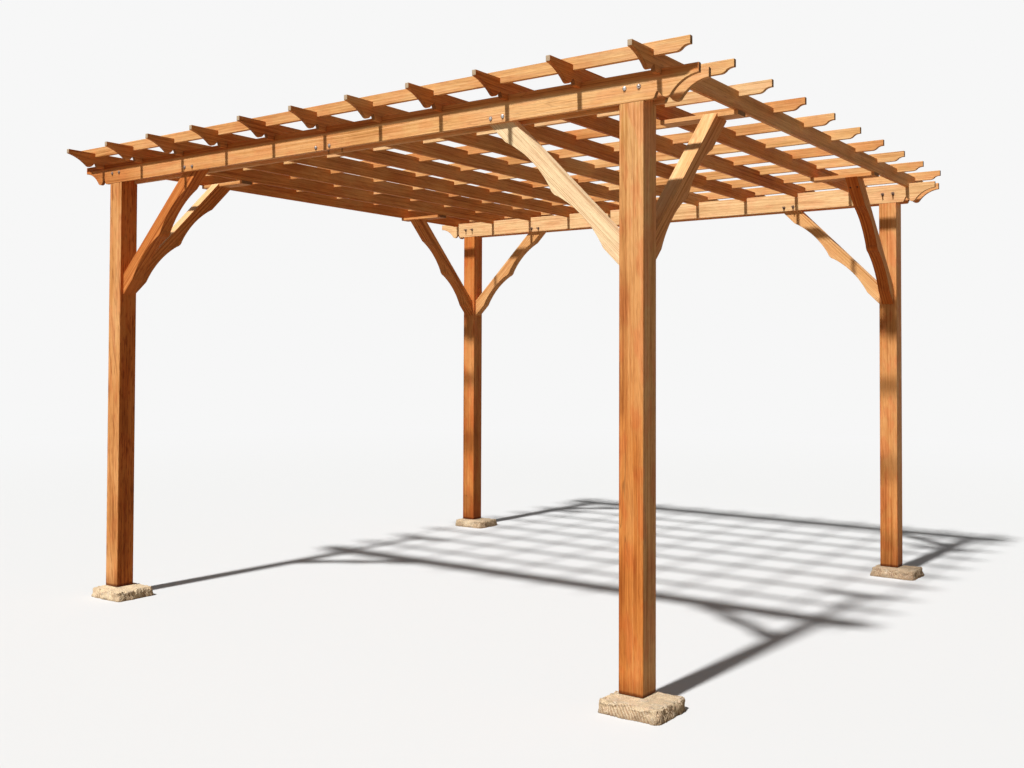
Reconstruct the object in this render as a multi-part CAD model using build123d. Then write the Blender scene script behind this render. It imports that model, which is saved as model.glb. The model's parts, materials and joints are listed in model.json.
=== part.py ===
from build123d import *
import os

# Garden pergola: four posts on rough stones, doubled beams front and back, rafters and slats above
# X runs along the beams, Y from front to back, Z up; the ground is at Z = 0

# Plan
POST_SIZE = 120
POST_SPREAD = 3850
BOARD = 22
FIT_GAP = 0.3

# Heights
STONE_HEIGHT = 60
BEAM_CLEARANCE = 2570
BEAM_DEPTH = 126
RAFTER_DEPTH = 92
RAFTER_SEAT = 27
SLAT_DEPTH = 60
SLAT_LET_IN = 26

# Overhangs past the outer faces of the posts
BEAM_OVERHANG = 260
RAFTER_OVERHANG = 258
SLAT_OVERHANG = 254

# Repeats, spread evenly between the outermost ones, which stand this far past the posts' outer faces
RAFTER_COUNT = 11
RAFTER_OUTSIDE = 75
SLAT_COUNT = 10
SLAT_OUTSIDE = 57

# Stones
STONE_LENGTH = 330
STONE_WIDTH = 300
STONE_TAPER = 11
STONE_CORNER = 22
STONE_SHIFTS = {
    "front_left": (55, -15),
    "front_right": (45, -40),
    "back_left": (45, 0),
    "back_right": (45, -20),
}

# Braces
BRACE_REACH = 585
BRACE_DEPTH = 95
BRACE_COVE = 30
BRACE_LAND = 36
BRACE_BUMP = 60
BRACE_SHOULDER = 8
BRACE_HEAD_GAP = 30

# Flat boards under the end rafters, which hold the heads of the side braces
CROSS_WIDTH = 90

# Levels and positions that follow
HALF = POST_SPREAD / 2
POST_CENTRE = HALF - POST_SIZE / 2
BEAM_BOTTOM = STONE_HEIGHT + BEAM_CLEARANCE
BEAM_TOP = BEAM_BOTTOM + BEAM_DEPTH
RAFTER_BOTTOM = BEAM_TOP - RAFTER_SEAT
RAFTER_TOP = RAFTER_BOTTOM + RAFTER_DEPTH
SLAT_BOTTOM = RAFTER_TOP - SLAT_LET_IN
SLAT_TOP = SLAT_BOTTOM + SLAT_DEPTH
CROSS_TOP = RAFTER_BOTTOM
CROSS_BOTTOM = CROSS_TOP - BOARD
BRACE_FOOT = BEAM_BOTTOM - BRACE_REACH
CROSS_DISTANCE = POST_SIZE + CROSS_TOP - BRACE_FOOT
GAP_BETWEEN_BOARDS = POST_SIZE - 2 * BOARD


def spread(count, outermost):
    """Evenly spaced places from one outermost member to the other."""
    pitch = 2 * outermost / (count - 1)
    return [pitch * n - outermost for n in range(count)]


RAFTER_X = spread(RAFTER_COUNT, HALF + RAFTER_OUTSIDE)
SLAT_Y = spread(SLAT_COUNT, HALF + SLAT_OUTSIDE)


def chain(start, steps):
    """Edges from a start point; a step is (end) for a line or (middle, end) for an arc."""
    edges = []
    here = start
    for step in steps:
        if len(step) == 1:
            edges.append(Edge.make_line(here, step[0]))
        else:
            edges.append(Edge.make_three_point_arc(here, step[0], step[1]))
        here = step[-1]
    return edges


def plank(start, steps, thickness, place):
    """A closed outline in the (run, height) plane, extruded both ways from its middle plane."""
    edges = chain((start[0], 0, start[1]), [[(p[0], 0, p[1]) for p in step] for step in steps])
    face = Face(Wire(edges))
    body = extrude(face, amount=thickness / 2, dir=(0, 1, 0), both=True)
    return place * body


def mirrored(start, steps):
    """The same outline walked backwards on the other side of run = 0."""
    points = [start] + [step[-1] for step in steps]
    back = []
    for n in range(len(steps) - 1, -1, -1):
        middle = [(-p[0], p[1]) for p in steps[n][:-1]]
        back.append(middle + [(-points[n][0], points[n][1])])
    return back


def bulb_and_quirk(underside):
    """The pattern sawn from one template in every beam and rafter end, from its cove to its underside."""
    return [
        [(HALF + 108.5, underside), (HALF + 90, underside + 7)],
        [(HALF + 70, underside + 27)],
        [(HALF + 65, underside + 30), (HALF + 61, underside + 26)],
        [(HALF + 52, underside + 5)],
        [(HALF + 47.6, underside + 1.4), (HALF + 42, underside)],
    ]


def beam_end():
    """Right end of a beam, from the top of the tip round the cove, bulb and quirk to the underside."""
    tip = HALF + BEAM_OVERHANG
    start = (tip, BEAM_TOP)
    cove = [
        [(tip, BEAM_BOTTOM + 84)],
        [(HALF + 186, BEAM_BOTTOM + 62), (HALF + 127, BEAM_BOTTOM + 7)],
    ]
    return start, cove + bulb_and_quirk(BEAM_BOTTOM)


def beam(middle_y):
    """One board of a doubled beam."""
    start, steps = beam_end()
    outline = steps + [[(-steps[-1][-1][0], BEAM_BOTTOM)]] + mirrored(start, steps) + [[start]]
    return plank(start, outline, BOARD, Location((0, middle_y, 0)))


def rafter_end():
    """Front end of a rafter as run outward from its middle, ending in the corner of the beam seat."""
    tip = HALF + RAFTER_OVERHANG
    start = (tip, RAFTER_TOP)
    cove = [
        [(tip, RAFTER_BOTTOM + 66)],
        [(HALF + 190, RAFTER_BOTTOM + 46), (HALF + 127, RAFTER_BOTTOM + 7)],
    ]
    shoulder = [[(HALF + FIT_GAP, RAFTER_BOTTOM)], [(HALF + FIT_GAP, BEAM_TOP)]]
    return start, cove + bulb_and_quirk(RAFTER_BOTTOM) + shoulder


def rafter(x):
    """A rafter seated over both beams, with slat notches in its top."""
    start, steps = rafter_end()
    inside = HALF - POST_SIZE - FIT_GAP
    seat = [[(inside, BEAM_TOP)], [(inside, RAFTER_BOTTOM)]]
    half = steps + seat
    outline = half + [[(-inside, RAFTER_BOTTOM)]] + mirrored(start, half) + [[start]]
    body = plank(start, outline, BOARD, Location((0, 0, 0)))
    for y in SLAT_Y:
        notch = Box(BOARD + 2 * FIT_GAP, 2 * BOARD, 2 * SLAT_LET_IN)
        body -= Location((y, 0, RAFTER_TOP)) * notch
    return Location((x, 0, 0), (0, 0, 90)) * body


def slat_end():
    """Right end of a slat: a short tip and an ogee on the underside."""
    tip = HALF + SLAT_OVERHANG
    start = (tip, SLAT_TOP)
    steps = [
        [(tip, SLAT_BOTTOM + 23)],
        [(tip - 20, SLAT_BOTTOM + 22), (tip - 36, SLAT_BOTTOM + 15)],
        [(tip - 48, SLAT_BOTTOM + 5), (tip - 66, SLAT_BOTTOM)],
    ]
    return start, steps


def slat(y):
    """A slat let into the tops of the rafters."""
    start, steps = slat_end()
    outline = steps + [[(-steps[-1][-1][0], SLAT_BOTTOM)]] + mirrored(start, steps) + [[start]]
    return plank(start, outline, BOARD, Location((0, y, 0)))


def brace_edge():
    """Curved lower edge of a brace, from its foot up, in the (run, height) plane."""
    length = BRACE_REACH * 2 ** 0.5
    middle = length / 2
    low = BRACE_DEPTH - BRACE_COVE

    def place(s, t):
        run = POST_SIZE + (s + t) / 2 ** 0.5
        height = BRACE_FOOT + (s - t) / 2 ** 0.5
        return (run, height)

    bump = BRACE_BUMP / 2
    shoulder = BRACE_DEPTH - BRACE_SHOULDER
    quarter = (BRACE_LAND + middle - bump) / 2
    return [
        place(-BRACE_DEPTH, BRACE_DEPTH),
        [[place(BRACE_LAND, BRACE_DEPTH)],
         [place(quarter, low), place(middle - bump, shoulder)],
         [place(middle, BRACE_DEPTH), place(middle + bump, shoulder)],
         [place(length - quarter, low), place(length - BRACE_LAND, BRACE_DEPTH)]],
    ]


def brace(head_steps, foot, edge_steps):
    """A brace standing against a post; the run goes from the outer face of the post."""
    outline = edge_steps + head_steps + [[(POST_SIZE, BRACE_FOOT)], [foot]]
    return plank(foot, outline, GAP_BETWEEN_BOARDS, Location((0, 0, 0)))


def beam_brace():
    """A brace that rises between the two boards of a beam."""
    foot, edge = brace_edge()
    top = BEAM_TOP - BRACE_HEAD_GAP
    rise = top - BRACE_FOOT
    upper = (POST_SIZE + rise, top)
    lower = (POST_SIZE + rise + BRACE_DEPTH * 2 ** 0.5, top)
    return brace([[lower], [upper]], foot, edge)


def side_brace():
    """A brace in the side of the frame, notched under and round the edge of a cross board."""
    foot, edge = brace_edge()
    rise = CROSS_BOTTOM - BRACE_FOOT
    lower = (POST_SIZE + rise + BRACE_DEPTH * 2 ** 0.5, CROSS_BOTTOM)
    corner = (CROSS_DISTANCE, CROSS_BOTTOM)
    upper = (CROSS_DISTANCE, CROSS_TOP)
    return brace([[lower], [corner], [upper]], foot, edge)


def cross_board(side_x, side_y):
    """A short flat board across the undersides of the two end rafters."""
    left = RAFTER_X[-2] - BOARD / 2
    right = RAFTER_X[-1] + BOARD / 2
    across = HALF - CROSS_DISTANCE - CROSS_WIDTH / 2
    body = Box(right - left, CROSS_WIDTH, BOARD)
    return Location((side_x * (left + right) / 2, side_y * across, CROSS_TOP - BOARD / 2)) * body


def post(side_x, side_y):
    """A square post with its head housed on both faces for the beam boards."""
    height = BEAM_TOP - STONE_HEIGHT
    body = Location((0, 0, STONE_HEIGHT + height / 2)) * Box(POST_SIZE, POST_SIZE, height)
    for face in (-1, 1):
        housing = Box(POST_SIZE + 2, BOARD, BEAM_DEPTH)
        y = face * (POST_SIZE - BOARD) / 2
        body -= Location((0, y, (BEAM_BOTTOM + BEAM_TOP) / 2)) * housing
    return Location((side_x * POST_CENTRE, side_y * POST_CENTRE, 0)) * body


def stone(side_x, side_y, shift):
    """A rough-hewn footing stone, a little wider at the ground and a little off its post's middle."""
    outline = chamfer(Rectangle(STONE_LENGTH, STONE_WIDTH).vertices(), STONE_CORNER)
    body = extrude(outline, amount=STONE_HEIGHT, taper=STONE_TAPER)
    return Location((side_x * POST_CENTRE + shift[0], side_y * POST_CENTRE + shift[1], 0)) * body


os.makedirs("parts", exist_ok=True)

CORNERS = {
    "front_left": (-1, -1),
    "front_right": (1, -1),
    "back_left": (-1, 1),
    "back_right": (1, 1),
}

for name, (sx, sy) in CORNERS.items():
    export_step(stone(sx, sy, STONE_SHIFTS[name]), f"parts/stone_{name}.step")
    export_step(post(sx, sy), f"parts/post_{name}.step")
    export_step(cross_board(sx, sy), f"parts/cross_board_{name}.step")
    along = beam_brace()
    if sx > 0:
        along = along.mirror(Plane.YZ)
    along = Location((sx * HALF, sy * POST_CENTRE, 0)) * along
    export_step(along, f"parts/beam_brace_{name}.step")
    turn = 90 if sy < 0 else -90
    across = Location((sx * POST_CENTRE, sy * HALF, 0), (0, 0, turn)) * side_brace()
    export_step(across, f"parts/side_brace_{name}.step")

for name, side in {"front": -1, "back": 1}.items():
    outer = side * (HALF - BOARD / 2)
    inner = side * (HALF - POST_SIZE + BOARD / 2)
    export_step(beam(outer), f"parts/beam_{name}_outer.step")
    export_step(beam(inner), f"parts/beam_{name}_inner.step")

for n, x in enumerate(RAFTER_X, start=1):
    export_step(rafter(x), f"parts/rafter_{n:02d}.step")

for n, y in enumerate(SLAT_Y, start=1):
    export_step(slat(y), f"parts/slat_{n:02d}.step")
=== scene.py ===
import json
import math
import random

import bmesh
import bpy
import numpy as np
from mathutils import Matrix, Quaternion, Vector


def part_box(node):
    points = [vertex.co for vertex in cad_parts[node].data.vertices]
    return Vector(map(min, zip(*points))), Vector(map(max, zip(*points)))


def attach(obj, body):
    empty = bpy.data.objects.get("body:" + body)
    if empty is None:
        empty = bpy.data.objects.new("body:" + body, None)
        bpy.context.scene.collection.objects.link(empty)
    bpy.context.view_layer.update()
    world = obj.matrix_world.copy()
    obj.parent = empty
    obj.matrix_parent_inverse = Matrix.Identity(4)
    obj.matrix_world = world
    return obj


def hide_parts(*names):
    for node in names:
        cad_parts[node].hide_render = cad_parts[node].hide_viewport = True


# Garden pergola of oiled hardwood on rough stones: eased timbers, bolts, screws and hewn footings

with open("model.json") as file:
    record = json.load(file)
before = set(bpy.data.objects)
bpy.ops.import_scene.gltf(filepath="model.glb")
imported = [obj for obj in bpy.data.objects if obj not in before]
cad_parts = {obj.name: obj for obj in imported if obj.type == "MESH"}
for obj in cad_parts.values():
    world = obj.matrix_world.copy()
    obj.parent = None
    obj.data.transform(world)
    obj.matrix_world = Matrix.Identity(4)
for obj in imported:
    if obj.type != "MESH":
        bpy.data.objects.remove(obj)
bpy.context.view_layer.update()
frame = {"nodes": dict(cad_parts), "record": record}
BODY = "root"

# Places read from the frame
POST_LOW, POST_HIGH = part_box("post_front_left")
BEAM_LOW, BEAM_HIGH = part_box("beam_front_outer")
INNER_BEAM_LOW, INNER_BEAM_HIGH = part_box("beam_front_inner")
POST_FACE = -POST_LOW.x
POST_WIDTH = POST_HIGH.x - POST_LOW.x
STONE_TOP = POST_LOW.z
BEAM_UNDERSIDE = BEAM_LOW.z
BEAM_PAIR = INNER_BEAM_HIGH.y - BEAM_LOW.y
CORNERS = {
    "front_left": (-1, -1),
    "front_right": (1, -1),
    "back_left": (-1, 1),
    "back_right": (1, 1),
}

# Eased edges: how wide, and from what angle between faces they are eased, and shown sharp, in degrees
POST_ARRIS = 0.0035
BOARD_ARRIS = 0.0018
EASED_FROM = 40
SHARP_FROM = 50
# Faces that turn by less, in degrees, are one face, and points that lie closer are one point
FLAT_UP_TO = 0.5
SAME_POINT = 0.00001

# Bolts: how far in from the posts' outer faces, and how high above the beam's underside
POST_BOLTS = ((0.022, 0.0640), (0.093, 0.0640))
BRACE_BOLTS = ((0.748, 0.0285), (0.818, 0.0265))
# Bolts in the middle of the beam: how far right of its middle, and how high above its underside
MIDDLE_BOLTS = ((-0.065, 0.020), (0.036, 0.020))

# Rust on the bolts: on the nuts, and on all of them at the left, fading out between two places along the beam
RUST_BEHIND = 0.85
RUST_LEFT = 0.75
RUST_FADES = (-0.5, 0.9)

# Darker streak painted on the beam below each bolt: how long, and how far to each side
STREAK_LENGTH = 0.034
STREAK_ASIDE = 0.008

# Sunk screws at the top of the side braces' lower edges: how far down the edge and from its middle, and how
# wide and deep their holes are
SCREW_DOWN = 0.086
SCREW_ASIDE = 0.023
SCREW_HOLE = 0.0062
SCREW_SUNK = 0.008


class Wiring:
    """Puts nodes in one tree; an input is fed a plain value or another node's output."""

    def __init__(self, tree):
        self.tree = tree

    def put(self, kind, feeds=None, **settings):
        made = self.tree.nodes.new(kind)
        for name, value in settings.items():
            setattr(made, name, value)
        for name, value in (feeds or {}).items():
            self.feed(made.inputs[name], value)
        return made

    def feed(self, socket, value):
        if isinstance(value, bpy.types.Node):
            value = value.outputs[0]
        if isinstance(value, bpy.types.NodeSocket):
            self.tree.links.new(value, socket)
        else:
            socket.default_value = value

    def calc(self, operation, *values):
        return self.put("ShaderNodeMath", dict(enumerate(values)), operation=operation).outputs[0]

    def vector(self, x=0.0, y=0.0, z=0.0):
        return self.put("ShaderNodeCombineXYZ", {0: x, 1: y, 2: z}).outputs[0]

    def split(self, vector):
        return self.put("ShaderNodeSeparateXYZ", {0: vector}).outputs

    def between(self, value, low, high, first=0.0, last=1.0, smooth=False):
        kind = "SMOOTHSTEP" if smooth else "LINEAR"
        feeds = {0: value, 1: low, 2: high, 3: first, 4: last}
        return self.put("ShaderNodeMapRange", feeds, interpolation_type=kind).outputs[0]

    def noise(self, place, scale=1.0, detail=2.0, rough=0.5):
        feeds = {"Vector": place, "Scale": scale, "Detail": detail, "Roughness": rough}
        return self.put("ShaderNodeTexNoise", feeds).outputs[0]

    def noise_along(self, distance, scale=1.0, detail=2.0, rough=0.5):
        feeds = {"W": distance, "Scale": scale, "Detail": detail, "Roughness": rough}
        return self.put("ShaderNodeTexNoise", feeds, noise_dimensions="1D").outputs[0]

    def mix(self, share, first, second, kind="MIX"):
        """Mixes two colours, which are inputs 6 and 7 of the node and its output 2."""
        made = self.put("ShaderNodeMix", data_type="RGBA", blend_type=kind)
        self.feed(made.inputs[0], share)
        self.feed(made.inputs[6], first)
        self.feed(made.inputs[7], second)
        return made.outputs[2]


def paint(red, green, blue):
    return (red, green, blue, 1.0)


# Timber finish

RICH = {
    "dark": paint(0.330, 0.085, 0.012),
    "middle": paint(0.640, 0.230, 0.050),
    "light": paint(0.780, 0.370, 0.115),
}
PALE = {
    "dark": paint(0.620, 0.315, 0.095),
    "middle": paint(0.860, 0.515, 0.215),
    "light": paint(0.930, 0.640, 0.330),
}
CREAM = paint(0.975, 0.775, 0.475)
END_GRAIN = paint(0.130, 0.064, 0.030)
# Painted sunlight: the pale end grain of tips that face the sun
PAINTED_SUNLIT_END = paint(0.520, 0.400, 0.270)
WEATHERED = paint(0.560, 0.400, 0.245)
CHECK_STAIN = paint(0.120, 0.045, 0.014)

# What red boards, figure, wear, stains, the darker foot band and the streaks below the bolts multiply a
# timber's colour by; the red tint also carries the painted shade of undersides and of the front beam's upper
# strip
TINTS = {
    "red_board_and_painted_shade": paint(0.93, 0.62, 0.38),
    "mottle": paint(0.95, 0.64, 0.62),
    "latewood": paint(0.66, 0.46, 0.30),
    "ribbon": paint(0.66, 0.48, 0.38),
    "fibre": paint(0.76, 0.62, 0.52),
    "dash": paint(0.52, 0.36, 0.25),
    "pore": paint(0.45, 0.34, 0.28),
    "rubbed_edge": paint(0.72, 0.62, 0.52),
    "damp": paint(0.40, 0.30, 0.24),
    "foot_band": paint(0.26, 0.18, 0.14),
    "grime": paint(0.70, 0.60, 0.52),
    "below_bolts": paint(0.34, 0.26, 0.22),
}

# Growth lines to the metre, lines of latewood to the metre, and how far the pith wanders along a log
GROWTH_LINES = 105.0
LATEWOOD_LINES = 270.0
PITH_WANDER = (0.036, 0.030)
# How much the grain slants where it is interlocked
INTERLOCKED_SLANT = 0.11

# Painted shadow on the front beam's upper strip, where the roof's shadow falls: its lower edge, how soft
# that is, and how much deeper and redder its colour is painted
PAINTED_ROOF_SHADOW_FROM = 2.721
PAINTED_ROOF_SHADOW_BLUR = 0.008
PAINTED_ROOF_SHADOW_DEEPER = 0.55
PAINTED_ROOF_SHADOW_REDDER = 0.45

# How much redder undersides are painted: partly painted shade, partly oil the sun has not bleached
UNDERSIDE_SHADE_AND_OIL = 0.40

# Heights above the stone between which the damp stain and the darker band at a post's foot fade out
DAMP_FADES = (0.03, 0.13)
FOOT_BAND_FADES = (0.012, 0.026)


def figure_colour(net, figure, tones):
    ramp = net.put("ShaderNodeValToRGB", {"Fac": figure})
    band = ramp.color_ramp
    band.elements[0].position = 0.16
    band.elements[0].color = tones["dark"]
    band.elements[1].position = 0.86
    band.elements[1].color = tones["light"]
    middle = band.elements.new(0.46)
    middle.color = tones["middle"]
    return ramp.outputs[0]


def drawn_out(net, log, cells_along, cells_across, low, high, **kind):
    """Noise drawn out along the grain, with so many cells to the metre along it and across it."""
    along, across, through = log
    place = net.vector(
        net.calc("MULTIPLY", along, cells_along),
        net.calc("MULTIPLY", across, cells_across),
        net.calc("MULTIPLY", through, cells_across))
    return net.between(net.noise(place, **kind), low, high)


def shaded(net, share, colour, tint, strength=1.0):
    """The colour multiplied by a tint where the share says so."""
    if strength != 1.0:
        share = net.calc("MULTIPLY", share, strength)
    return net.mix(share, colour, net.mix(1.0, colour, tint, "MULTIPLY"))


def growth_lines(net, log, seed):
    """The lines round the pith, which wanders along the log, and the latewood among them."""
    along, across, through = log
    wander = net.vector(net.calc("MULTIPLY", along, 0.9), net.calc("MULTIPLY", across, 4.0), seed)
    sideways = net.calc("SUBTRACT", net.noise(wander, detail=1.0), 0.5)
    sideways = net.calc("MULTIPLY", sideways, PITH_WANDER[0])
    wander = net.vector(net.calc("MULTIPLY", along, 1.3), seed, net.calc("MULTIPLY", through, 4.0))
    outward = net.calc("SUBTRACT", net.noise(wander, detail=1.0), 0.5)
    outward = net.calc("MULTIPLY", outward, PITH_WANDER[1])
    across_log = net.calc("ADD", across, sideways)
    through_log = net.calc("ADD", through, outward)
    square = net.calc("ADD", net.calc("POWER", across_log, 2.0), net.calc("POWER", through_log, 2.0))
    radius = net.calc("SQRT", square)
    lines = net.between(net.noise_along(radius, scale=GROWTH_LINES, detail=3.0, rough=0.62), 0.30, 0.70)
    latewood = net.between(net.noise_along(radius, scale=LATEWOOD_LINES, detail=1.0), 0.56, 0.66)
    return lines, latewood


def drying_checks(net, log, seed, clouds):
    """Thin cracks that follow the grain here and there."""
    crack = drawn_out(net, log, 1.7, 24.0, 0.0, 1.0, detail=1.0)
    crack = net.calc("ABSOLUTE", net.calc("SUBTRACT", crack, 0.5))
    crack = net.between(crack, 0.002, 0.006, 1.0, 0.0)
    where = net.noise(net.vector(net.calc("MULTIPLY", log[0], 2.3), seed, clouds), detail=0.0)
    return net.calc("MULTIPLY", crack, net.between(where, 0.60, 0.70, smooth=True))


def painted_roof_shadow_strip(net, place):
    """1 on the upper strip of the front beam's outer board, where the roof's shadow is painted, 0 elsewhere.
    """
    _, depth, height = net.split(place)
    strip = net.between(height, PAINTED_ROOF_SHADOW_FROM - PAINTED_ROOF_SHADOW_BLUR, PAINTED_ROOF_SHADOW_FROM + PAINTED_ROOF_SHADOW_BLUR, smooth=True)
    return net.calc("MULTIPLY", strip, net.between(depth, BEAM_HIGH.y, INNER_BEAM_LOW.y, 1.0, 0.0))


def weathered_with_painted_sunlight(net, colour, cut_end, clouds, facing_back, facing_up):
    """Cut ends soak up oil and go dark; tips that face the sun are painted pale as painted sunlight; tops
    bleach.
    """
    colour = net.mix(net.calc("MULTIPLY", cut_end, 0.80), colour, END_GRAIN)
    # Painted sunlight on the tip ends that face the sun
    painted_sunlight = net.between(facing_back, -0.4, -0.9, 0.0, 0.85)
    painted_sunlight = net.calc("MULTIPLY", net.between(cut_end, 0.72, 0.95), painted_sunlight)
    colour = net.mix(painted_sunlight, colour, PAINTED_SUNLIT_END)
    bleached = net.between(clouds, 0.0, 1.0, 0.20, 0.55)
    bleached = net.calc("MULTIPLY", net.between(facing_up, 0.55, 0.95), bleached)
    return net.mix(bleached, colour, WEATHERED)


def foot_stained(net, colour, place, streaks, clouds):
    """Damp drawn up from the stone, a darker band along the very foot, and grime in patches."""
    height = net.calc("SUBTRACT", net.split(place)[2], STONE_TOP)
    drawn_up = net.calc("ADD", height, net.calc("MULTIPLY", streaks, 0.045))
    damp = net.between(drawn_up, *DAMP_FADES, 1.0, 0.0, smooth=True)
    colour = shaded(net, damp, colour, TINTS["damp"], 0.60)
    edge = net.calc("ADD", height, net.calc("MULTIPLY", clouds, 0.006))
    foot_band = net.between(edge, *FOOT_BAND_FADES, 1.0, 0.0, smooth=True)
    colour = shaded(net, foot_band, colour, TINTS["foot_band"], 0.85)
    grime = net.between(net.noise(place, scale=2.6, detail=3.0), 0.56, 0.76, smooth=True)
    return shaded(net, grime, colour, TINTS["grime"], 0.35)


def timber_finish(
        name, lines_share, streaks_share, checks_share, dashes_share, mottle_share,
        foot_stain=False, bolted_with_painted_shadow=False):
    """Oiled hardwood cut from a log, with growth lines, streaks, mottle, pores and drying checks."""
    material = bpy.data.materials.new(name)
    material.use_nodes = True
    net = Wiring(material.node_tree)
    shader = material.node_tree.nodes["Principled BSDF"]
    grain = net.put("ShaderNodeAttribute", attribute_name="grain").outputs["Vector"]
    board = net.put("ShaderNodeAttribute", attribute_name="board").outputs["Vector"]
    cut_end = net.put("ShaderNodeAttribute", attribute_name="cut_end").outputs["Fac"]
    arris = net.put("ShaderNodeAttribute", attribute_name="arris").outputs["Fac"]
    place = net.put("ShaderNodeTexCoord").outputs["Object"]
    _, facing_back, facing_up = net.split(net.put("ShaderNodeNewGeometry").outputs["Normal"])
    log = net.split(grain)
    along, across, through = log
    paleness, redness, seed = net.split(board)

    # Growth lines, streaks, patches, pores, slanting dashes of interlocked grain, mottle and checks
    lines, latewood = growth_lines(net, log, seed)
    streaks = drawn_out(net, log, 0.8, 80.0, 0.30, 0.70, detail=4.0, rough=0.6)
    ribbons = drawn_out(net, log, 1.6, 150.0, 0.50, 0.66)
    fibres = drawn_out(net, log, 5.0, 380.0, 0.40, 0.66)
    clouds = drawn_out(net, log, 1.9, 9.0, 0.30, 0.70)
    pores = drawn_out(net, log, 26.0, 1300.0, 0.60, 0.68, detail=0.0)
    slanting = (along, net.calc("ADD", across, net.calc("MULTIPLY", along, INTERLOCKED_SLANT)), through)
    dashes = drawn_out(net, slanting, 9.0, 105.0, 0.54, 0.66, detail=1.0)
    mottle = drawn_out(net, log, 6.0, 15.0, 0.33, 0.67)
    checks = net.calc("MULTIPLY", drying_checks(net, log, seed, clouds), checks_share)

    # How pale and how red: paleness drifts along each board, and undersides are painted redder, partly as
    # painted shade and partly as oil the sun has not bleached
    redness = net.calc("ADD", redness, net.between(facing_up, -0.2, -0.7, 0.0, UNDERSIDE_SHADE_AND_OIL))
    drift = net.noise(net.vector(net.calc("MULTIPLY", along, 0.8), seed, 0.0), detail=1.0)
    paleness = net.calc("ADD", paleness, net.between(drift, 0.3, 0.7, -0.15, 0.15))
    # Painted shadow: the front beam's upper strip is painted deeper and redder where the roof's shadow falls
    if bolted_with_painted_shadow:
        painted_roof_shadow = painted_roof_shadow_strip(net, place)
        paleness = net.calc("SUBTRACT", paleness, net.calc("MULTIPLY", painted_roof_shadow, PAINTED_ROOF_SHADOW_DEEPER))
        redness = net.calc("ADD", redness, net.calc("MULTIPLY", painted_roof_shadow, PAINTED_ROOF_SHADOW_REDDER))

    # Colour of the figure, from rich heartwood to pale boards; the palest show their latewood most clearly
    figure = net.calc("MULTIPLY", lines, lines_share)
    figure = net.calc("ADD", figure, net.calc("MULTIPLY", streaks, streaks_share))
    figure = net.calc("ADD", figure, net.calc("MULTIPLY", clouds, 1.0 - lines_share - streaks_share))
    colour = figure_colour(net, figure, RICH)
    colour = net.mix(net.between(paleness, 0.0, 1.0), colour, figure_colour(net, figure, PALE))
    colour = net.mix(net.between(paleness, 1.0, 2.0), colour, CREAM)
    # The red tint, which also carries the painted shade of undersides and of the front beam's upper strip
    colour = shaded(net, redness, colour, TINTS["red_board_and_painted_shade"])
    mottled = net.between(mottle, 0.60, 0.15, smooth=True)
    colour = shaded(net, mottled, colour, TINTS["mottle"], mottle_share)
    clearness = net.between(paleness, 1.2, 1.8, lines_share, 0.72)
    colour = shaded(net, net.calc("MULTIPLY", latewood, clearness), colour, TINTS["latewood"])
    colour = shaded(net, ribbons, colour, TINTS["ribbon"], 0.42)
    colour = shaded(net, fibres, colour, TINTS["fibre"], 0.40)
    colour = shaded(net, dashes, colour, TINTS["dash"], dashes_share)
    colour = shaded(net, pores, colour, TINTS["pore"], 0.35)

    # Weather, painted sunlight on the tips, rubbed edges, checks, stains at the foot and streaks below the
    # bolts
    colour = weathered_with_painted_sunlight(net, colour, cut_end, clouds, facing_back, facing_up)
    colour = shaded(net, arris, colour, TINTS["rubbed_edge"], 0.35)
    colour = net.mix(checks, colour, CHECK_STAIN)
    if foot_stain:
        colour = foot_stained(net, colour, place, streaks, clouds)
    if bolted_with_painted_shadow:
        colour = shaded(net, darker_streaks_below_bolts(net, place, streaks), colour, TINTS["below_bolts"], 0.75)
    net.feed(shader.inputs["Base Color"], colour)

    # Satin oil, duller between the streaks and on cut ends
    shader.inputs["Specular IOR Level"].default_value = 0.12
    rough = net.between(streaks, 0.0, 1.0, 0.74, 0.58)
    rough = net.calc("ADD", rough, net.calc("MULTIPLY", cut_end, 0.16))
    net.feed(shader.inputs["Roughness"], rough)
    height = net.calc("ADD", net.calc("MULTIPLY", lines, 0.22), net.calc("MULTIPLY", streaks, 0.30))
    height = net.calc("SUBTRACT", height, net.calc("MULTIPLY", pores, 0.16))
    height = net.calc("SUBTRACT", height, net.calc("MULTIPLY", checks, 1.4))
    relief = net.put("ShaderNodeBump", {"Strength": 1.0, "Distance": 0.001, "Height": height})
    net.feed(shader.inputs["Normal"], relief)
    return material


def darker_streaks_below_bolts(net, place, streaks):
    """Darker streaks painted on the beams below their bolts."""
    across, _, height = net.split(place)
    mirrored = net.calc("ABSOLUTE", across)
    rows = [(mirrored, POST_FACE - inward, rise) for inward, rise in POST_BOLTS + BRACE_BOLTS]
    rows += [(across, middle, rise) for middle, rise in MIDDLE_BOLTS]
    share = 0.0
    for run, middle, rise in rows:
        aside = net.calc("ABSOLUTE", net.calc("SUBTRACT", run, middle))
        beside = net.between(aside, STREAK_ASIDE * 0.4, STREAK_ASIDE, 1.0, 0.0, smooth=True)
        drop = net.calc("SUBTRACT", BEAM_UNDERSIDE + rise, height)
        drop = net.calc("ADD", drop, net.calc("MULTIPLY", streaks, STREAK_ASIDE))
        below = net.between(drop, STREAK_LENGTH * 0.4, STREAK_LENGTH, 1.0, 0.0, smooth=True)
        under = net.between(drop, -STREAK_ASIDE, 0.0)
        streak = net.calc("MULTIPLY", net.calc("MULTIPLY", beside, below), under)
        share = net.calc("MAXIMUM", share, streak)
    return share


# Timbers, each dressed from its own solid

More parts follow.
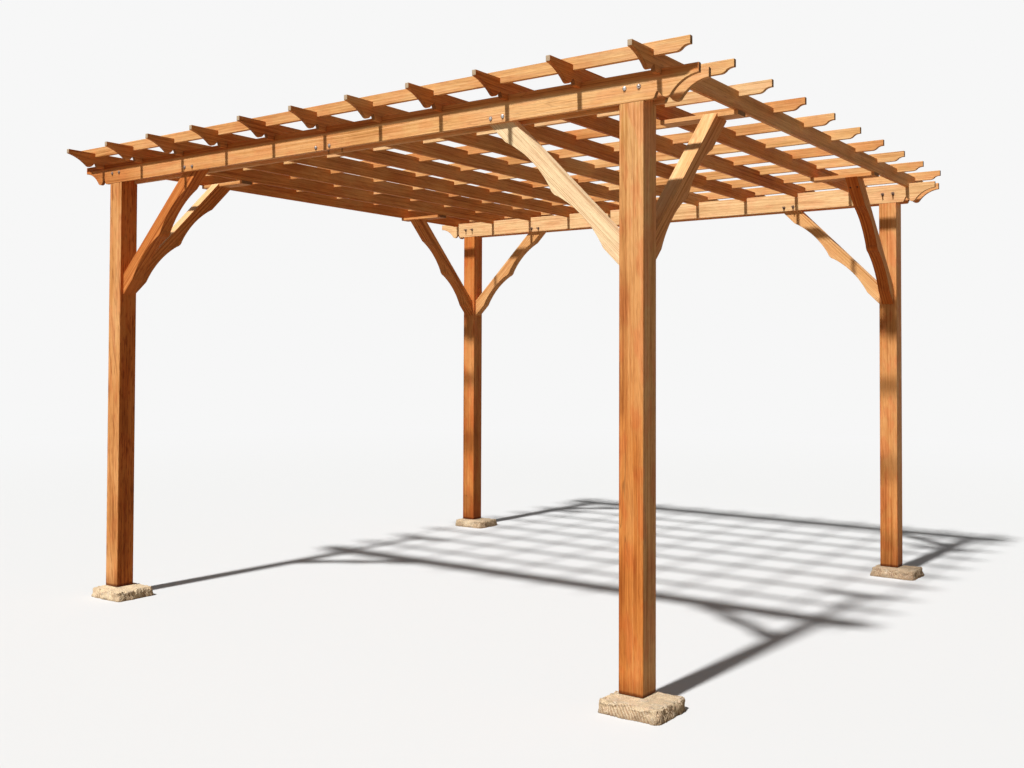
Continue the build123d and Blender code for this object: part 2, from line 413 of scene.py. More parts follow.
def lengthwise(node):
    """Directions of a timber: along its grain, and across it in its depth."""
    if node.startswith("post"):
        return Vector((0, 0, 1)), Vector((1, 0, 0))
    if node.startswith("rafter"):
        return Vector((0, 1, 0)), Vector((0, 0, 1))
    if "brace" in node:
        side_x, side_y = next(sides for corner, sides in CORNERS.items() if node.endswith(corner))
        inward = Vector((-side_x, 0, 0)) if node.startswith("beam") else Vector((0, -side_y, 0))
        up = Vector((0, 0, 1))
        return (inward + up).normalized(), (up - inward).normalized()
    return Vector((1, 0, 0)), Vector((0, 0, 1))


def eased_mesh(node, arris):
    """The node's solid with its outer edges eased by a small round."""
    shape = bmesh.new()
    shape.from_mesh(frame["nodes"][node].data)
    bmesh.ops.remove_doubles(shape, verts=shape.verts, dist=SAME_POINT)
    bmesh.ops.dissolve_limit(
        shape, angle_limit=math.radians(FLAT_UP_TO), use_dissolve_boundaries=False,
        verts=shape.verts, edges=shape.edges)
    least = math.radians(EASED_FROM)
    edges = [e for e in shape.edges if e.is_convex and e.calc_face_angle(0.0) > least]
    worn = shape.faces.layers.float.new("arris")
    made = bmesh.ops.bevel(
        shape, geom=edges, offset=arris, segments=2, profile=0.5, affect="EDGES", clamp_overlap=True)
    for face in made["faces"]:
        face[worn] = 1.0
    mesh = bpy.data.meshes.new(node + "_mesh")
    shape.to_mesh(mesh)
    shape.free()
    mesh.shade_smooth()
    mesh.set_sharp_from_angle(angle=math.radians(SHARP_FROM))
    return mesh


def evaluated_mesh(thing, name):
    """The object's mesh with its modifiers taken in."""
    depsgraph = bpy.context.evaluated_depsgraph_get()
    mesh = bpy.data.meshes.new_from_object(
        thing.evaluated_get(depsgraph), preserve_all_data_layers=True, depsgraph=depsgraph)
    mesh.name = name
    return mesh


def screw_places(node):
    """Where the two sunk screws enter a side brace's lower edge, and their way out of it."""
    along, across = lengthwise(node)
    low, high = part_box(node)
    side_y = 1 if low.y + high.y > 0 else -1
    board_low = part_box(node.replace("side_brace", "cross_board"))[0]
    edge_top = Vector(((low.x + high.x) / 2, side_y * min(abs(low.y), abs(high.y)), board_low.z))
    start = edge_top - along * SCREW_DOWN
    return [start + Vector((aside, 0, 0)) for aside in (-SCREW_ASIDE, SCREW_ASIDE)], -across


def drilled(piece, places, out):
    """Sinks a round hole at each place, straight into the timber."""
    cutter = bmesh.new()
    turned = out.to_track_quat("Z", "Y").to_matrix().to_4x4()
    for place in places:
        bmesh.ops.create_cone(
            cutter, cap_ends=True, segments=20, radius1=SCREW_HOLE, radius2=SCREW_HOLE, depth=SCREW_SUNK * 2,
            matrix=Matrix.Translation(place) @ turned)
    drill = bpy.data.objects.new("drill", bpy.data.meshes.new("drill"))
    cutter.to_mesh(drill.data)
    cutter.free()
    bpy.context.scene.collection.objects.link(drill)
    hole = piece.modifiers.new("holes", "BOOLEAN")
    hole.object = drill
    hole.operation = "DIFFERENCE"
    hole.solver = "EXACT"
    mesh = evaluated_mesh(piece, piece.name + "_drilled")
    piece.modifiers.clear()
    piece.data = mesh
    bpy.data.objects.remove(drill)


# How far apart in the noise the timbers and their seeds are drawn, and how far off their middle the pith lies
LOG_SPREAD = 90
SEED_SPREAD = 50
PITH_OFF = (0.07, 0.13)
# Timbers whose broad faces show close straight lines: which way their pith lies, and how far off
QUARTER_SAWN = ("beam_brace_front_right", "side_brace_front_right")
QUARTER_SAWN_TURN = 0.15
QUARTER_SAWN_OFF = 0.15
# Faces this near a timber's outermost point are its tip; its profile's other cut ends show less end grain
# and get no painted sunlight
TIP_DEPTH = 0.006
INNER_END = 0.7


def mark_timber(mesh, node, arris, tone):
    """Gives a timber its place in its log, its tone and its cut ends, for the finish to read."""
    along, across = lengthwise(node)
    chance = random.Random(node)
    low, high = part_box(node)
    middle = (low + high) / 2
    places = np.empty(len(mesh.vertices) * 3, np.float32)
    mesh.vertices.foreach_get("co", places)
    places = places.reshape(-1, 3) - np.array(middle)
    axes = np.array([along, across, along.cross(across)])
    start, turn = chance.uniform(0, LOG_SPREAD), chance.uniform(0, math.tau)
    off = chance.uniform(*PITH_OFF)
    if node in QUARTER_SAWN:
        turn, off = QUARTER_SAWN_TURN, QUARTER_SAWN_OFF
    grain = places @ axes.T + np.array((start, math.cos(turn) * off, math.sin(turn) * off))
    grain = grain.astype(np.float32)
    mesh.attributes.new("grain", "FLOAT_VECTOR", "POINT").data.foreach_set("vector", grain.ravel())

    # Paleness, which may rise along the timber, redness and a seed; the right face, turned from the sun, may
    # be painted its own tone as painted shade
    share = places @ np.array(along)
    half_length = np.abs(share).max()
    board = np.empty((len(places), 3), np.float32)
    board[:, 0] = tone[0] + tone[2] * share / half_length
    board[:, 1] = tone[1]
    board[:, 2] = chance.uniform(0, SEED_SPREAD)
    # Painted shade: the right face, turned from the sun, gets its own tone
    if node in PAINTED_SHADE_RIGHT_FACE:
        board[places[:, 0] > (high - middle).x - arris * 0.1, :2] = PAINTED_SHADE_RIGHT_FACE[node]
    mesh.attributes.new("board", "FLOAT_VECTOR", "POINT").data.foreach_set("vector", board.ravel())

    ends = []
    for face in mesh.polygons:
        tip = abs((face.center - middle).dot(along)) > float(half_length) - TIP_DEPTH
        end = min(1.0, abs(face.normal.dot(along)) ** 1.5 * 1.3)
        ends.append(end * (1.0 if tip else INNER_END))
    mesh.attributes.new("cut_end", "FLOAT", "FACE").data.foreach_set("value", ends)


def dressed_timber(node, finish, arris, tone):
    """A timber made from its solid: eased, drilled where it is screwed, marked and finished."""
    piece = bpy.data.objects.new(node + "_timber", eased_mesh(node, arris))
    bpy.context.scene.collection.objects.link(piece)
    if node.startswith("side_brace"):
        drilled(piece, *screw_places(node))
    weighted = piece.modifiers.new("even_shading", "WEIGHTED_NORMAL")
    weighted.keep_sharp = True
    mesh = evaluated_mesh(piece, piece.name + "_mesh")
    piece.modifiers.clear()
    piece.data = mesh
    mark_timber(mesh, node, arris, tone)
    mesh.materials.clear()
    mesh.materials.append(finish)
    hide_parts(node)
    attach(piece, BODY)


# How pale and how red single boards are, and how much paler they get towards one end
STANDING_OUT = {
    "beam_front_outer": (0.65, 0.14, 0.50),
    "beam_front_inner": (0.80, 0.00, 0.10),
    "beam_back_inner": (1.28, 0.05, 0.00),
    "beam_brace_front_right": (2.00, 0.00, 0.00),
    "beam_brace_front_left": (0.05, 0.50, 0.00),
    "side_brace_front_right": (0.95, 0.08, 0.00),
    "side_brace_front_left": (1.10, 0.00, 0.00),
    "side_brace_back_right": (0.00, 1.00, 0.00),
    "side_brace_back_left": (0.25, 0.35, 0.00),
    "cross_board_front_right": (0.75, 0.05, 0.00),
    "post_front_right": (0.10, 0.10, 0.94),
    "post_front_left": (0.36, 0.00, 0.00),
    "post_back_left": (0.10, 0.35, 0.00),
    "post_back_right": (0.20, 0.12, 0.05),
    "rafter_11": (0.42, 0.05, 0.00),
    "rafter_10": (0.14, 0.40, 0.00),
    "rafter_09": (0.20, 0.40, 0.00),
    "rafter_04": (0.24, 0.12, 0.00),
    "rafter_03": (0.22, 0.15, 0.00),
    "rafter_02": (0.20, 0.25, 0.00),
    "rafter_01": (0.16, 0.35, 0.00),
    "slat_01": (0.62, 0.00, 0.12),
    "slat_02": (0.85, 0.00, 0.10),
    "slat_03": (1.20, 0.00, 0.10),
    "slat_04": (0.40, 0.05, 0.00),
    "slat_05": (0.62, 0.00, 0.05),
    "slat_06": (0.88, 0.00, 0.05),
    "slat_07": (0.45, 0.15, 0.05),
    "slat_08": (0.82, 0.00, 0.05),
    "slat_09": (0.60, 0.00, 0.10),
}
# Painted shade: how pale and how red the right faces, turned from the sun, are painted where these differ
# from the rest
PAINTED_SHADE_RIGHT_FACE = {
    "post_front_right": (0.52, 0.05),
    "post_front_left": (0.30, 0.95),
    "post_back_right": (0.28, 0.10),
    "side_brace_front_right": (0.35, 0.22),
    "side_brace_front_left": (0.25, 0.40),
    "side_brace_back_right": (0.28, 0.12),
}
# For boards not named above: the least and most paleness and redness of each kind of timber
DRAWN = {
    "post_timber": ((0.10, 0.40), (0.00, 0.30)),
    "beam_timber": ((0.25, 0.75), (0.00, 0.30)),
    "brace_timber": ((0.20, 0.75), (0.00, 0.35)),
    "rafter_timber": ((0.10, 0.42), (0.00, 0.40)),
    "slat_timber": ((0.45, 0.95), (0.00, 0.15)),
}
# What shows in each kind of timber, and in the flecked post: the shares of growth lines and of streaks in its
# figure, and how strong its checks, dashes and mottle are
FIGURE = {
    "post_timber": (0.26, 0.32, 0.45, 0.25, 0.50),
    "post_front_left": (0.22, 0.30, 0.45, 0.65, 0.35),
    "beam_timber": (0.30, 0.34, 0.25, 0.20, 0.30),
    "brace_timber": (0.50, 0.26, 0.15, 0.15, 0.15),
    "rafter_timber": (0.30, 0.34, 0.25, 0.25, 0.30),
    "slat_timber": (0.32, 0.32, 0.20, 0.20, 0.25),
}


def dress_timbers():
    finishes = {}
    for key, shares in FIGURE.items():
        name = key + "_oiled" if key in DRAWN else "post_timber_flecked"
        finishes[key] = timber_finish(
            name, *shares, foot_stain=key.startswith("post"), bolted_with_painted_shadow=key.startswith("beam"))
    slots = {row["node"]: row["material_slot"] for row in frame["record"]["subparts"]}
    for node in frame["nodes"]:
        slot = slots[node]
        if slot not in DRAWN:
            continue
        chance = random.Random(node + " tone")
        pale, red = DRAWN[slot]
        drawn = (chance.uniform(*pale), chance.uniform(*red), chance.uniform(-0.10, 0.10))
        arris = POST_ARRIS if slot == "post_timber" else BOARD_ARRIS
        finish = finishes.get(node, finishes[slot])
        dressed_timber(node, finish, arris, STANDING_OUT.get(node, drawn))


# Geometry trees for what repeats

class ShapeTree(Wiring):
    """A geometry tree with a named input for each size."""

    kinds = {float: "NodeSocketFloat", int: "NodeSocketInt", tuple: "NodeSocketVector"}

    def __init__(self, name, sizes):
        super().__init__(bpy.data.node_groups.new(name, "GeometryNodeTree"))
        face = self.tree.interface
        face.new_socket("Geometry", in_out="OUTPUT", socket_type="NodeSocketGeometry")
        face.new_socket("Geometry", in_out="INPUT", socket_type="NodeSocketGeometry")
        face.new_socket("Material", in_out="INPUT", socket_type="NodeSocketMaterial")
        for label, value in sizes.items():
            socket = face.new_socket(label, in_out="INPUT", socket_type=self.kinds[type(value)])
            socket.default_value = value
        self.inputs = self.put("NodeGroupInput").outputs

    def join(self, *parts):
        made = self.put("GeometryNodeJoinGeometry")
        for part in parts:
            self.feed(made.inputs[0], part)
        return made

    def move(self, part, place):
        return self.put("GeometryNodeTransform", {"Geometry": part, "Translation": place})

    def end(self, part):
        real = self.put("GeometryNodeRealizeInstances", {"Geometry": part})
        painted = self.put("GeometryNodeSetMaterial", {"Geometry": real, "Material": self.inputs["Material"]})
        self.put("NodeGroupOutput", {"Geometry": painted})
        return self.tree


def grown(name, tree, finish, points, **sizes):
    """A plain mesh object made by a geometry tree over loose points."""
    seeds = bpy.data.meshes.new(name + "_points")
    seeds.from_pydata([tuple(p) for p in points], [], [])
    piece = bpy.data.objects.new(name, seeds)
    bpy.context.scene.collection.objects.link(piece)
    work = piece.modifiers.new("shape", "NODES")
    work.node_group = tree
    labels = {label.replace("_", " "): value for label, value in sizes.items()}
    for item in tree.interface.items_tree:
        if item.in_out == "INPUT" and item.name == "Material":
            work[item.identifier] = finish
        if item.in_out == "INPUT" and item.name in labels:
            work[item.identifier] = labels[item.name]
    mesh = evaluated_mesh(piece, name + "_mesh")
    piece.modifiers.clear()
    piece.data = mesh
    return piece


def dome(net, radius, height, turns=20, rings=6):
    """A round cap: a grid wrapped about its axis, from the rim to the crown."""
    grid = net.put(
        "GeometryNodeMeshGrid", {"Size X": 1.0, "Size Y": 1.0, "Vertices X": turns + 1, "Vertices Y": rings})
    x, y, _ = net.split(net.put("GeometryNodeInputPosition"))
    angle = net.calc("MULTIPLY", x, math.tau)
    lift = net.calc("MULTIPLY", net.calc("ADD", y, 0.5), math.pi / 2)
    reach = net.calc("MULTIPLY", net.calc("COSINE", lift), radius)
    place = net.vector(
        net.calc("MULTIPLY", reach, net.calc("COSINE", angle)),
        net.calc("MULTIPLY", reach, net.calc("SINE", angle)),
        net.calc("MULTIPLY", net.calc("SINE", lift), height))
    wrapped = net.put("GeometryNodeSetPosition", {"Geometry": grid, "Position": place})
    closed = net.put("GeometryNodeMergeByDistance", {"Geometry": wrapped, "Distance": SAME_POINT})
    return net.put("GeometryNodeSetShadeSmooth", {"Geometry": closed})


def rod(net, radius, length, middle, sides):
    """A round or many-sided rod along the axis, about its middle height."""
    bar = net.put("GeometryNodeMeshCylinder", {"Vertices": sides, "Radius": radius, "Depth": length})
    return net.move(bar, net.vector(0.0, 0.0, middle))


def on_points(net, part):
    """The part at each point, standing out along the tree's Outward input, each turned by chance."""
    facing = net.put(
        "FunctionNodeAlignRotationToVector", {"Vector": net.inputs["Outward"]}, axis="Z")
    placed = net.put("GeometryNodeInstanceOnPoints", {
        "Points": net.inputs["Geometry"], "Instance": part, "Rotation": facing})
    drawn = net.put("FunctionNodeRandomValue", {"Seed": net.inputs["Seed"]}, data_type="FLOAT")
    drawn.inputs[2].default_value = 0.0
    drawn.inputs[3].default_value = math.tau
    turn = net.vector(0.0, 0.0, drawn.outputs[1])
    return net.put("GeometryNodeRotateInstances", {"Instances": placed, "Rotation": turn})


def through_bolt_tree():
    """A round-headed bolt through both boards, with a washer, a nut and the end of its thread behind."""
    net = ShapeTree("through_bolt", {
        "Outward": (0.0, -1.0, 0.0), "Seed": 3, "Head Radius": 0.0096, "Head Height": 0.0062,
        "Collar Radius": 0.0102, "Collar Height": 0.0016, "Shank Radius": 0.0045, "Span": 0.12,
        "Washer Radius": 0.0110, "Washer Height": 0.0018, "Nut Radius": 0.0086, "Nut Height": 0.0070,
        "Thread Left": 0.0210})
    size = net.inputs
    collar_middle = net.calc("MULTIPLY", size["Collar Height"], 0.5)
    collar = rod(net, size["Collar Radius"], size["Collar Height"], collar_middle, 24)
    head = dome(net, size["Head Radius"], size["Head Height"])
    head = net.move(head, net.vector(0.0, 0.0, size["Collar Height"]))
    back = net.calc("MULTIPLY", size["Span"], -1.0)
    shank = rod(net, size["Shank Radius"], size["Span"], net.calc("MULTIPLY", back, 0.5), 12)
    washer_middle = net.calc("SUBTRACT", back, net.calc("MULTIPLY", size["Washer Height"], 0.5))
    washer = rod(net, size["Washer Radius"], size["Washer Height"], washer_middle, 24)
    seat = net.calc("SUBTRACT", back, size["Washer Height"])
    nut_middle = net.calc("SUBTRACT", seat, net.calc("MULTIPLY", size["Nut Height"], 0.5))
    nut = rod(net, size["Nut Radius"], size["Nut Height"], nut_middle, 6)
    tail = net.calc("ADD", size["Nut Height"], size["Thread Left"])
    tail_middle = net.calc("SUBTRACT", seat, net.calc("MULTIPLY", tail, 0.5))
    thread = rod(net, size["Shank Radius"], tail, tail_middle, 12)
    return net.end(on_points(net, net.join(collar, head, shank, washer, nut, thread)))


def bolt_points(side):
    """Bolt centres on the outer face of the front (-1) or back (1) beam."""
    y = side * POST_FACE
    ends = [
        (hand * (POST_FACE - inward), y, BEAM_UNDERSIDE + height)
        for hand in (-1, 1)
        for inward, height in POST_BOLTS + BRACE_BOLTS
    ]
    return ends + [(x, y, BEAM_UNDERSIDE + height) for x, height in MIDDLE_BOLTS]


BOLT_COLOURS = {
    "dull": paint(0.46, 0.44, 0.41),
    "bright": paint(0.64, 0.61, 0.58),
    "rust": paint(0.135, 0.060, 0.028),
}
SCREW_COLOURS = {"black": paint(0.060, 0.055, 0.050), "browned": paint(0.110, 0.050, 0.024)}


def bolt_finish():
    """Galvanised steel, with rust in specks, on the nuts and towards the left."""
    material = bpy.data.materials.new("galvanised_bolt")
    material.use_nodes = True
    net = Wiring(material.node_tree)
    shader = material.node_tree.nodes["Principled BSDF"]
    place = net.put("ShaderNodeTexCoord").outputs["Object"]
    speckle = net.between(net.noise(place, scale=420.0, detail=2.0), 0.35, 0.65)
    colour = net.mix(speckle, BOLT_COLOURS["dull"], BOLT_COLOURS["bright"])
    rust = net.between(net.noise(place, scale=160.0, detail=3.0), 0.50, 0.62, smooth=True)
    along_beam, out_from_middle, _ = net.split(place)
    out_from_middle = net.calc("ABSOLUTE", out_from_middle)
    behind = net.between(
        out_from_middle, POST_FACE - BEAM_PAIR * 0.6, POST_FACE - BEAM_PAIR * 0.4, RUST_BEHIND, 0.0)
    left = net.between(along_beam, *RUST_FADES, RUST_LEFT, 0.0)
    rust = net.calc("MAXIMUM", rust, net.calc("MAXIMUM", behind, left))
    net.feed(shader.inputs["Base Color"], net.mix(rust, colour, BOLT_COLOURS["rust"]))
    net.feed(shader.inputs["Roughness"], net.between(rust, 0.0, 1.0, 0.34, 0.72))
    net.feed(shader.inputs["Metallic"], net.between(rust, 0.0, 1.0, 1.0, 0.25))
    return material


def screw_finish():
    """Blackened steel, browned by damp."""
    material = bpy.data.materials.new("blackened_screw")
    material.use_nodes = True
    net = Wiring(material.node_tree)
    shader = material.node_tree.nodes["Principled BSDF"]
    place = net.put("ShaderNodeTexCoord").outputs["Object"]
    damp = net.between(net.noise(place, scale=500.0, detail=2.0), 0.40, 0.65)
    colour = net.mix(damp, SCREW_COLOURS["black"], SCREW_COLOURS["browned"])
    net.feed(shader.inputs["Base Color"], colour)
    net.feed(shader.inputs["Roughness"], net.between(damp, 0.0, 1.0, 0.45, 0.75))
    shader.inputs["Metallic"].default_value = 0.7
    return material


def fit_bolts():
    tree = through_bolt_tree()
    finish = bolt_finish()
    for name, side in {"front": -1, "back": 1}.items():
        bolts = grown(
            f"beam_bolts_{name}", tree, finish, bolt_points(side),
            Outward=(0.0, float(side), 0.0), Span=BEAM_PAIR, Seed=4 + side)
        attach(bolts, BODY)


def sunk_screw_tree():
    """A flat round screw head with a hexagon socket, at the bottom of its hole."""
    net = ShapeTree("sunk_screw", {
        "Outward": (0.0, -1.0, 0.0), "Seed": 1, "Head Radius": 0.0052, "Head Height": 0.0022,
        "Socket Radius": 0.0022, "Sunk": 0.008})
    size = net.inputs
    floor = net.calc("MULTIPLY", size["Sunk"], -1.0)
    head_middle = net.calc("ADD", floor, net.calc("MULTIPLY", size["Head Height"], 0.5))
    head = rod(net, size["Head Radius"], size["Head Height"], head_middle, 20)
    socket_middle = net.calc("ADD", floor, size["Head Height"])
    socket = rod(net, size["Socket Radius"], size["Head Height"], socket_middle, 6)
    sunk = net.put("GeometryNodeMeshBoolean", {0: head, 1: socket}, operation="DIFFERENCE", solver="EXACT")
    return net.end(on_points(net, sunk))


def fit_screws():
    tree = sunk_screw_tree()
    finish = screw_finish()
    for number, corner in enumerate(CORNERS):
        places, out = screw_places("side_brace_" + corner)
        screws = grown(
            f"brace_screws_{corner}", tree, finish, places,
            Outward=tuple(out), Sunk=SCREW_SUNK, Seed=number + 1)
        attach(screws, BODY)


# Footing stones

# How pale each stone is
STONE_TONES = {"front_left": 0.66, "front_right": 0.38, "back_left": 0.45, "back_right": 0.02}
STONE_COLOURS = {
    "dark": paint(0.400, 0.285, 0.175),
    "pale": paint(0.850, 0.665, 0.420),
    "pink": paint(0.640, 0.420, 0.290),
    "grey": paint(0.430, 0.395, 0.330),
    # Painted shade in the tool grooves
    "groove": paint(0.290, 0.155, 0.080),
    "dark_speck": paint(0.200, 0.145, 0.100),
    "pale_speck": paint(0.900, 0.800, 0.620),
    "earth": paint(0.235, 0.150, 0.085),
}
# How far the flat seat reaches past the post
SEAT_MARGIN = 0.004
# Points along, across and up a stone; how far apart in the noise the stones are cut; and how close its tool
# grooves are, and how much they wander
STONE_GRID = (104, 94, 24)
STONE_APART = 3.7
GROOVE_TURNS = 400.0
GROOVE_WANDER = 22.0


def stone_finish():
    """Pale rough-hewn stone: cream where it is split, dark brown painted shade in its grooves, earthy near
    the ground.
    """
    material = bpy.data.materials.new("hewn_stone")
    material.use_nodes = True
    net = Wiring(material.node_tree)
    shader = material.node_tree.nodes["Principled BSDF"]
    place = net.put("ShaderNodeTexCoord").outputs["Object"]
    hollow = net.put("ShaderNodeAttribute", attribute_name="hollow").outputs["Fac"]
    tone = net.put("ShaderNodeAttribute", attribute_name="tone").outputs["Fac"]
    clouds = net.between(net.noise(place, scale=17.0, detail=4.0, rough=0.6), 0.32, 0.68)
    pale = net.calc("ADD", tone, net.between(clouds, 0.0, 1.0, -0.22, 0.22))
    colour = net.mix(net.between(pale, 0.0, 1.0), STONE_COLOURS["dark"], STONE_COLOURS["pale"])
    pink = net.between(net.noise(place, scale=41.0, detail=2.0), 0.50, 0.70)
    colour = net.mix(net.calc("MULTIPLY", pink, 0.45), colour, STONE_COLOURS["pink"])
    grey = net.between(net.noise(place, scale=29.0, detail=3.0), 0.52, 0.66)
    colour = net.mix(net.calc("MULTIPLY", grey, 0.35), colour, STONE_COLOURS["grey"])
    # Painted shade: the grooves' hollows are painted dark brown
    groove = net.between(hollow, 0.30, 0.95, 0.0, 0.75, smooth=True)
    colour = net.mix(groove, colour, STONE_COLOURS["groove"])
    grains = net.put("ShaderNodeTexVoronoi", {"Vector": place, "Scale": 330.0})
    speck = net.split(grains.outputs["Color"])[0]
    colour = net.mix(net.between(speck, 0.80, 0.88, 0.0, 0.6), colour, STONE_COLOURS["dark_speck"])
    colour = net.mix(net.between(speck, 0.0, 0.12, 0.6, 0.0), colour, STONE_COLOURS["pale_speck"])
    height = net.calc("ADD", net.split(place)[2], net.calc("MULTIPLY", clouds, 0.012))
    earth = net.between(height, 0.004, 0.026, 0.60, 0.0, smooth=True)
    colour = net.mix(earth, colour, STONE_COLOURS["earth"])
    net.feed(shader.inputs["Base Color"], colour)
    shader.inputs["Roughness"].default_value = 0.92
    shader.inputs["Specular IOR Level"].default_value = 0.2
    pits = net.noise(place, scale=240.0, detail=4.0, rough=0.7)
    coarse = net.noise(place, scale=75.0, detail=3.0)
    relief = net.calc("ADD", net.calc("MULTIPLY", pits, 2.2), net.calc("MULTIPLY", coarse, 2.6))
    bump = net.put("ShaderNodeBump", {"Strength": 1.0, "Distance": 0.001, "Height": relief})
    net.feed(shader.inputs["Normal"], bump)
    return material


def hewn_stone_tree():
    """A split block that leans in to its top: grooved rough sides, chipped edges and a flat seat."""
    net = ShapeTree("hewn_stone", {
        "Length": 0.33, "Width": 0.30, "Height": 0.06, "Lean": 0.0100, "Corner": 0.085,
        "Seat X": 0.0, "Seat Y": 0.0, "Seat Half": 0.064,
        "Depth": 0.018, "Groove": 0.0040, "Chip": 0.013, "Seed": 1})
    size = net.inputs
    count_x, count_y, count_z = STONE_GRID
    block = net.put("GeometryNodeMeshCube", {
        "Size": net.vector(size["Length"], size["Width"], size["Height"]),
        "Vertices X": count_x, "Vertices Y": count_y, "Vertices Z": count_z})
    place = net.put("GeometryNodeInputPosition").outputs[0]
    x, y, z = net.split(place)
    rise = net.calc("ADD", net.calc("DIVIDE", z, size["Height"]), 0.5)
    share_x = net.calc("DIVIDE", net.calc("MULTIPLY", x, 2.0), size["Length"])
    share_y = net.calc("DIVIDE", net.calc("MULTIPLY", y, 2.0), size["Width"])
    border = net.calc("MAXIMUM", net.calc("ABSOLUTE", share_x), net.calc("ABSOLUTE", share_y))
    both = net.calc("POWER", net.calc("ABSOLUTE", net.calc("MULTIPLY", share_x, share_y)), 5.0)
    broken = net.calc("SUBTRACT", 1.0, net.calc("MULTIPLY", both, size["Corner"]))

    # Each stone is cut from its own part of the noise; the chips are the same all the way down an edge
    drift = net.calc("MULTIPLY", size["Seed"], STONE_APART)
    away = net.vector(net.calc("ADD", x, drift), net.calc("ADD", y, drift), net.calc("ADD", z, drift))
    level = net.vector(net.calc("ADD", x, drift), net.calc("ADD", y, drift), drift)
    broad = net.noise(away, scale=11.0, detail=2.0)
    facets = net.put("ShaderNodeTexVoronoi", {"Vector": away, "Scale": 26.0}).outputs["Distance"]
    fine = net.noise(away, scale=120.0, detail=4.0, rough=0.65)
    run = net.calc("ADD", net.calc("ADD", x, y), net.calc("MULTIPLY", z, 0.5))
    run = net.calc("MULTIPLY", run, GROOVE_TURNS)
    run = net.calc("ADD", run, net.calc("MULTIPLY", broad, GROOVE_WANDER))
    grooves = net.calc("MULTIPLY", net.calc("ADD", net.calc("SINE", run), 1.0), 0.5)
    grooves = net.calc("MULTIPLY", grooves, net.between(net.noise(away, scale=16.0, detail=1.0), 0.30, 0.50))
    cut = net.calc("MULTIPLY", net.between(broad, 0.28, 0.72), 0.62)
    cut = net.calc("ADD", cut, net.calc("MULTIPLY", facets, 0.46))
    cut = net.calc("ADD", cut, net.calc("MULTIPLY", fine, 0.24))
    cut = net.calc("MULTIPLY", cut, size["Depth"])
    cut = net.calc("ADD", cut, net.calc("MULTIPLY", grooves, size["Groove"]))
    cut = net.calc("ADD", cut, net.calc("MULTIPLY", rise, size["Lean"]))
    inward = net.calc("MULTIPLY", cut, net.between(border, 0.72, 1.0, smooth=True))

    beside_seat = net.calc(
        "MAXIMUM",
        net.calc("ABSOLUTE", net.calc("SUBTRACT", x, size["Seat X"])),
        net.calc("ABSOLUTE", net.calc("SUBTRACT", y, size["Seat Y"])))
    off_seat = net.between(net.calc("SUBTRACT", beside_seat, size["Seat Half"]), 0.0, 0.030, smooth=True)
    uneven = net.between(net.noise(level, scale=15.0), 0.3, 0.7)
    uneven = net.calc("ADD", uneven, net.calc("MULTIPLY", fine, 0.5))
    sunk = net.calc("MULTIPLY", uneven, net.calc("MULTIPLY", size["Depth"], 0.30))
    chipped = net.between(net.noise(level, scale=30.0, detail=3.0), 0.42, 0.62, smooth=True)
    chips = net.calc("MULTIPLY", chipped, net.calc("POWER", net.between(border, 0.78, 1.0), 1.5))
    sunk = net.calc("ADD", sunk, net.calc("MULTIPLY", chips, size["Chip"]))
    sunk = net.calc("MULTIPLY", net.calc("MULTIPLY", sunk, off_seat), net.calc("POWER", rise, 1.5))

    # The sides go in and the top goes down
    toward = net.vector(net.calc("POWER", share_x, 3.0), net.calc("POWER", share_y, 3.0), 0.0)
    toward = net.put("ShaderNodeVectorMath", {0: toward}, operation="NORMALIZE")
    in_x, in_y, _ = net.split(toward)
    shaped = net.vector(
        net.calc("SUBTRACT", net.calc("MULTIPLY", x, broken), net.calc("MULTIPLY", in_x, inward)),
        net.calc("SUBTRACT", net.calc("MULTIPLY", y, broken), net.calc("MULTIPLY", in_y, inward)),
        net.calc("SUBTRACT", z, sunk))
    # Where the painted shade of the grooves goes, stored for the finish
    hollow = net.calc("MULTIPLY", grooves, net.between(border, 0.97, 0.995))
    marked = net.put("GeometryNodeStoreNamedAttribute", {
        "Geometry": block, "Name": "hollow", "Value": hollow})
    hewn = net.put("GeometryNodeSetPosition", {"Geometry": marked, "Position": shaped})
    return net.end(net.put("GeometryNodeSetShadeSmooth", {"Geometry": hewn}))


def lay_stones():
    tree = hewn_stone_tree()
    finish = stone_finish()
    for number, corner in enumerate(CORNERS):
        low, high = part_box("stone_" + corner)
        post_low, post_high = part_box("post_" + corner)
        middle = (low + high) / 2
        seat = (post_low + post_high) / 2 - middle
        size = high - low
        stone = grown(
            f"footing_stone_{corner}", tree, finish, [(0, 0, 0)],
            Length=size.x, Width=size.y, Height=size.z,
            Seat_X=seat.x, Seat_Y=seat.y, Seat_Half=POST_WIDTH / 2 + SEAT_MARGIN, Seed=number + 1)
        stone.data.transform(Matrix.Translation(middle))
        tones = np.full(len(stone.data.vertices), STONE_TONES[corner], np.float32)
        stone.data.attributes.new("tone", "FLOAT", "POINT").data.foreach_set("value", tones)
        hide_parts("stone_" + corner)
        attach(stone, BODY)


# Floor, light and camera

FLOOR_RADIUS = 60.0
FLOOR_PALE = 0.66
# What the floor sends back up, warmer and less than the camera sees of it
FLOOR_BOUNCE = (0.285, 0.24, 0.185)
# How far out the floor starts to fade into the backdrop, and where it is gone
FADE = (5.0, 16.0)
BACKDROP = 0.93
FILL_STRENGTH = 0.13
# The sun's strength, its width, how far it is turned from straight ahead, and its height, in degrees
KEY_STRENGTH = 4.9
KEY_WIDTH, KEY_TURN, KEY_HEIGHT = 3.0, 2.0, 52.5

